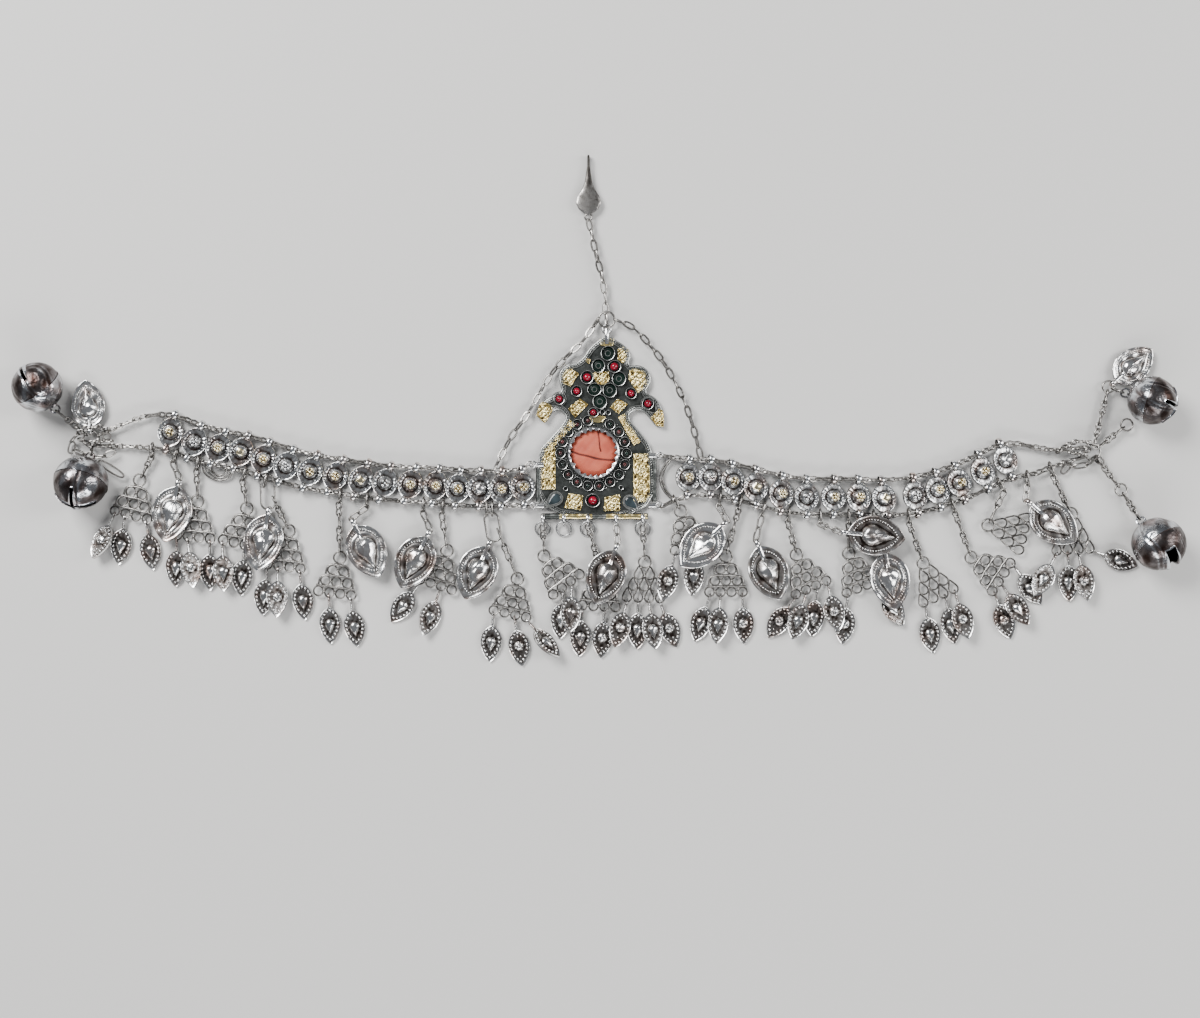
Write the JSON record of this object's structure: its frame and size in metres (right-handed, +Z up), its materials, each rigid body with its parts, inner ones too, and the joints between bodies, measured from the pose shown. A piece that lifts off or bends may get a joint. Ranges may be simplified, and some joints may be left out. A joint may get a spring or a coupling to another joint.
{
  "type": "bridal headdress",
  "caption": "Silver bridal headdress lying flat: a crest with a coral stone and gilt sheets, a band of domed plaques between chains, ladders with leaf drops, and bells at both ends.",
  "frame": {"origin": "centre of the crest's flat back face, under the coral stone, on the surface that the headdress lies on", "axes": "+X along the band to the right, +Y towards the hair hook, +Z up, out of the crest's front"},
  "size_m": [0.411, 0.1817, 0.0188],
  "materials": {
    "silver_wire": "aged silver wire, worn bright on top, dark in the joints",
    "silver_plaque": "aged silver sheet, stamped, dark in the recesses",
    "silver_leaf": "aged silver sheet, worn bright on the bosses",
    "silver_bell": "dark aged silver, dented, soft gloss",
    "silver_dark": "blackened silver plate with rope wire",
    "gilt": "pale gilt sheet, worn",
    "coral": "matte coral with cracks",
    "red_stone": "polished crimson cabochon"
  },
  "bodies": {
    "root": {"hair_hook": "silver_wire", "links_left": "silver_wire", "links_right": "silver_wire", "upper_chain_left": "silver_wire", "lower_chain_left": "silver_wire", "upper_chain_right": "silver_wire", "lower_chain_right": "silver_wire", "crest_chain_left": "silver_wire", "crest_chain_right": "silver_wire", "hook_chain": "silver_wire", "plaques_left": "silver_plaque", "plaques_right": "silver_plaque", "ladder_1": "silver_wire", "ladder_2": "silver_wire", "ladder_3": "silver_wire", "ladder_4": "silver_wire", "ladder_5": "silver_wire", "ladder_6": "silver_wire", "ladder_7": "silver_wire", "ladder_8": "silver_wire", "ladder_9": "silver_wire", "ladder_10": "silver_wire", "ladder_11": "silver_wire", "ladder_12": "silver_wire", "ladder_13": "silver_wire", "ladder_14": "silver_wire", "ladder_15": "silver_wire", "ladder_16": "silver_wire", "ladder_17": "silver_wire", "ladder_18": "silver_wire", "big_leaf_1": "silver_leaf", "big_leaf_2": "silver_leaf", "big_leaf_3": "silver_leaf", "big_leaf_4": "silver_leaf", "big_leaf_5": "silver_leaf", "big_leaf_6": "silver_leaf", "big_leaf_7": "silver_leaf", "big_leaf_8": "silver_leaf", "big_leaf_9": "silver_leaf", "big_leaf_10": "silver_leaf", "big_leaf_11": "silver_leaf", "end_leaf_left": "silver_leaf", "end_leaf_right": "silver_leaf", "small_leaves_left": "silver_leaf", "small_leaves_middle": "silver_leaf", "small_leaves_right": "silver_leaf", "bell_1": "silver_bell", "bell_2": "silver_bell", "bell_3": "silver_bell", "bell_4": "silver_bell", "crest": "silver_dark", "gilt_tubes": "gilt", "coral_stone": "coral", "red_stones": "red_stone"}
  },
  "joints": []
}
